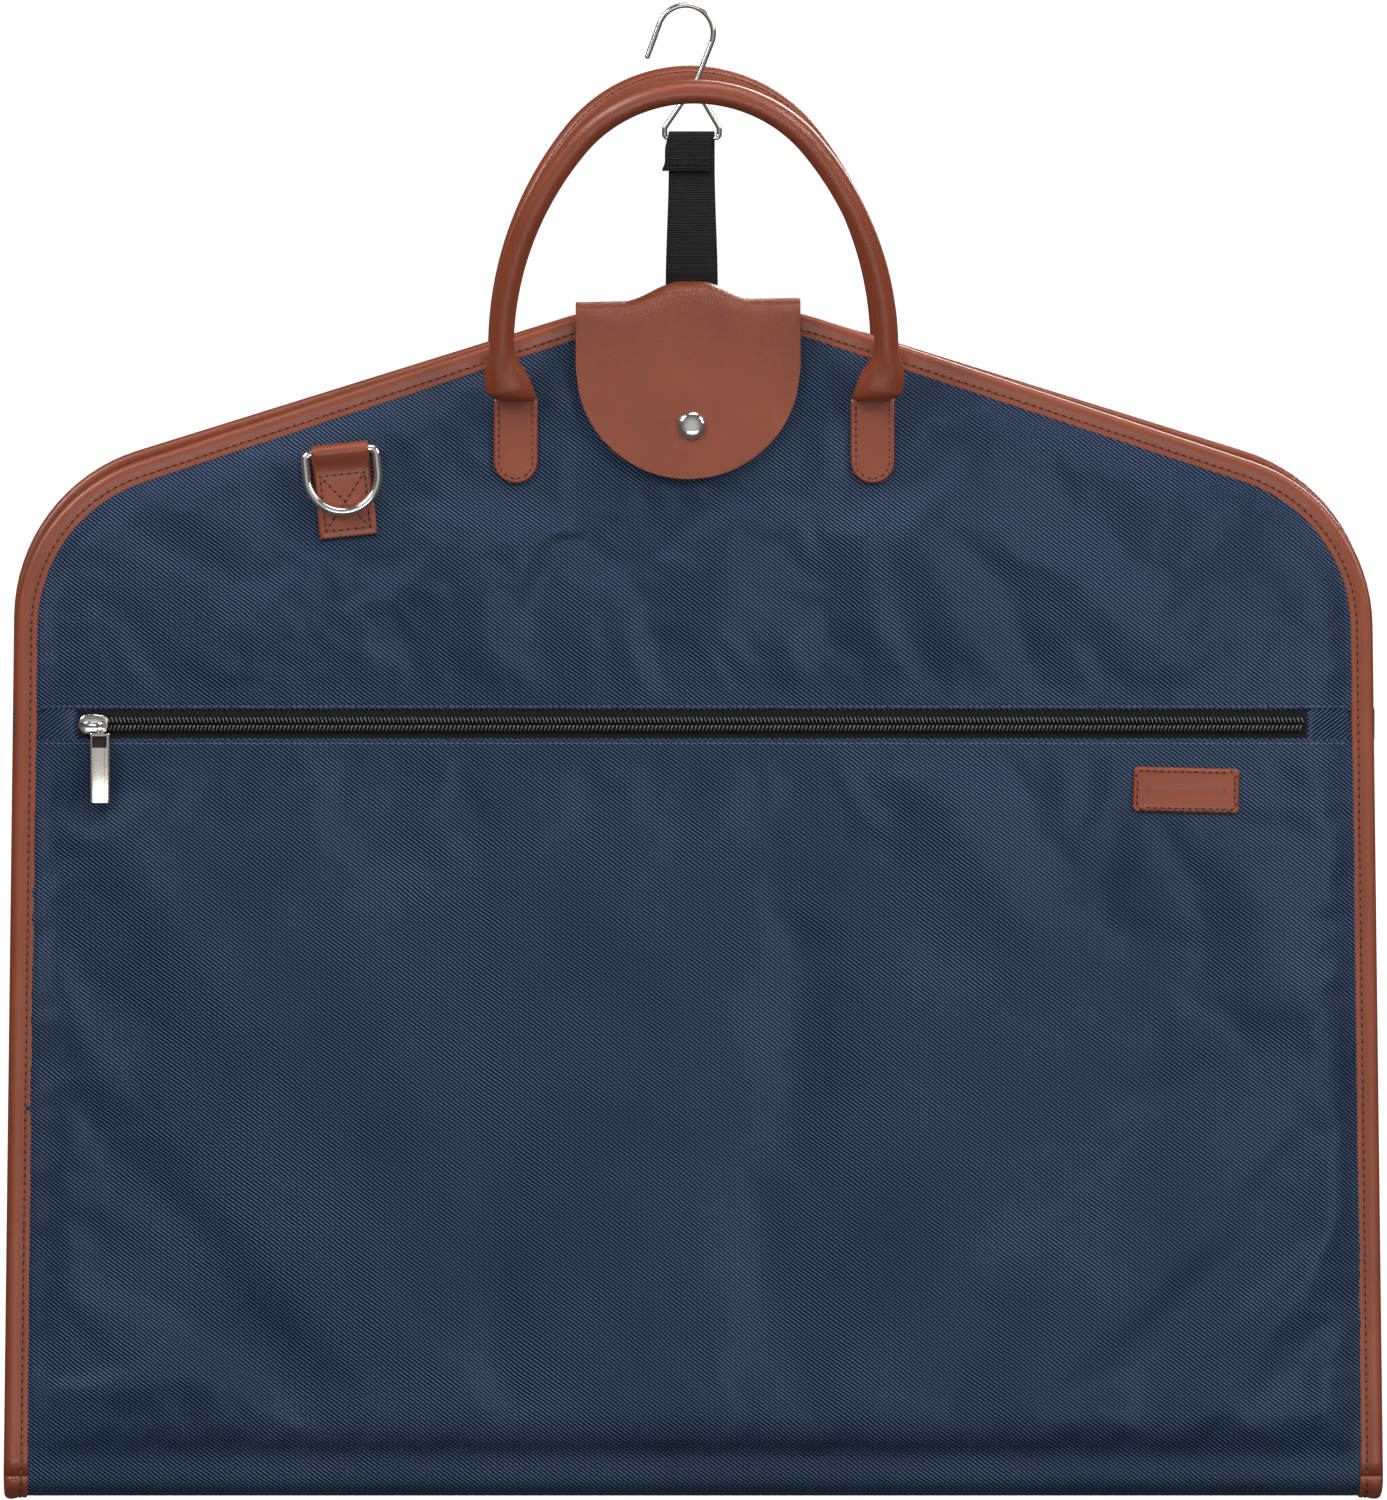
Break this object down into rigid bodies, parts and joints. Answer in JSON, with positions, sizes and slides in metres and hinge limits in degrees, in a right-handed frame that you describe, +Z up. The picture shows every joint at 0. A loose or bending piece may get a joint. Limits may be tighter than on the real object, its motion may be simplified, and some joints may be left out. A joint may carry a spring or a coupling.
{
  "type": "garment bag",
  "caption": "Folding garment bag in blue twill with leather edging, two tubular handles, flap with snap, hanging strap with hook and a zipped front pocket.",
  "frame": {"origin": "the point under the hook's bend where the bag hangs from a rail", "axes": "+X to the right seen from the front, +Y from the front leaf to the rear leaf, +Z up"},
  "size_m": [0.612, 0.112, 0.6638],
  "materials": {
    "twill": "woven twill, slight sheen",
    "lining": "smooth woven polyester",
    "leather": "satin, fine grain",
    "webbing": "ribbed webbing",
    "zip_tape": "woven zip tape",
    "zip_coil": "moulded coil",
    "nickel": "polished",
    "cord_core": "twisted cotton cord"
  },
  "bodies": {
    "hook": {"hanger_hook": "nickel"},
    "strap": {"hook_strap": "webbing"},
    "front_leaf": {"front_upper_panel": "twill", "front_pocket_panel": "twill", "left_zip_patch": "twill", "right_zip_patch": "twill", "pocket_lining": "lining", "front_lining_left": "lining", "front_lining_right": "lining", "front_binding": "leather", "front_main_zip_tapes": "zip_tape", "front_main_zip_coils": "zip_coil", "pocket_zip_upper_tape": "zip_tape", "pocket_zip_lower_tape": "zip_tape", "pocket_zip_upper_coil": "zip_coil", "pocket_zip_lower_coil": "zip_coil", "front_handle_tab_left": "leather", "front_handle_tab_right": "leather", "front_d_ring_tab": "leather", "label_patch": "leather", "flap_base": "leather", "snap_stud": "nickel", "strap_sewn_end": "webbing", "fold_strip": "twill", "fold_binding_left": "leather", "fold_binding_right": "leather"},
    "rear_leaf": {"rear_outer_panel": "twill", "rear_lining_left": "lining", "rear_lining_right": "lining", "rear_binding": "leather", "rear_main_zip_tapes": "zip_tape", "rear_main_zip_coils": "zip_coil", "rear_handle_tab_left": "leather", "rear_handle_tab_right": "leather", "rear_d_ring_tab": "leather"},
    "flap": {"closure_flap": "leather", "snap_cap": "nickel", "snap_socket": "nickel"},
    "front_handle": {"front_handle_cover": "leather", "front_handle_core": "cord_core"},
    "rear_handle": {"rear_handle_cover": "leather", "rear_handle_core": "cord_core"},
    "front_ring": {"front_d_ring": "nickel"},
    "rear_ring": {"rear_d_ring": "nickel"},
    "pocket_slider": {"pocket_slider": "nickel"},
    "pocket_pull": {"pocket_pull": "nickel"},
    "main_slider": {"main_slider": "nickel", "main_pull": "nickel"}
  },
  "joints": [
    {"name": "hook_swivel", "type": "hinge", "parent": "hook", "child": "strap", "pos_m": [-0.0003, 0, -0.0575], "axis": [1, 0, 0], "range_deg": [-25, 25]},
    {"name": "strap_bend", "type": "hinge", "parent": "strap", "child": "front_leaf", "pos_m": [-0.0004, 0.0005, -0.1202], "axis": [1, 0, 0], "range_deg": [-28, 8]},
    {"name": "fold", "type": "hinge", "parent": "front_leaf", "child": "rear_leaf", "pos_m": [0, 0, -0.651], "axis": [-1, 0, 0], "range_deg": [0, 179.5], "deforming": ["fold_strip", "fold_binding_left", "fold_binding_right"]},
    {"name": "flap_hinge", "type": "hinge", "parent": "front_leaf", "child": "flap", "pos_m": [-0.002, -0.019, -0.1327], "axis": [-1, 0, 0], "range_deg": [0, 150]},
    {"name": "front_handle_hinge", "type": "hinge", "parent": "front_leaf", "child": "front_handle", "pos_m": [0.0007, -0.0233, -0.1717], "axis": [1, 0, 0], "range_deg": [-20, 150]},
    {"name": "rear_handle_hinge", "type": "hinge", "parent": "rear_leaf", "child": "rear_handle", "pos_m": [-0.0007, 0.0203, -0.1697], "axis": [-1, 0, 0], "range_deg": [-4, 166]},
    {"name": "front_ring_hinge", "type": "hinge", "parent": "front_leaf", "child": "front_ring", "pos_m": [-0.1561, -0.01935, -0.197], "axis": [-0.9945, 0, -0.1045], "range_deg": [0, 150]},
    {"name": "rear_ring_hinge", "type": "hinge", "parent": "rear_leaf", "child": "rear_ring", "pos_m": [0.1561, 0.01635, -0.197], "axis": [0.9945, 0, -0.1045], "range_deg": [0, 150]},
    {"name": "pocket_slide", "type": "slide", "parent": "front_leaf", "child": "pocket_slider", "axis": [1, 0, 0], "range_m": [0, 0.528]},
    {"name": "pocket_pull_hinge", "type": "hinge", "parent": "pocket_slider", "child": "pocket_pull", "pos_m": [-0.2651, -0.0195, -0.3178], "axis": [-1, 0, 0], "range_deg": [0, 170]},
    {"name": "main_slide", "type": "slide", "parent": "front_leaf", "child": "main_slider", "axis": [0, 0, -1], "range_m": [0, 0.41]}
  ]
}
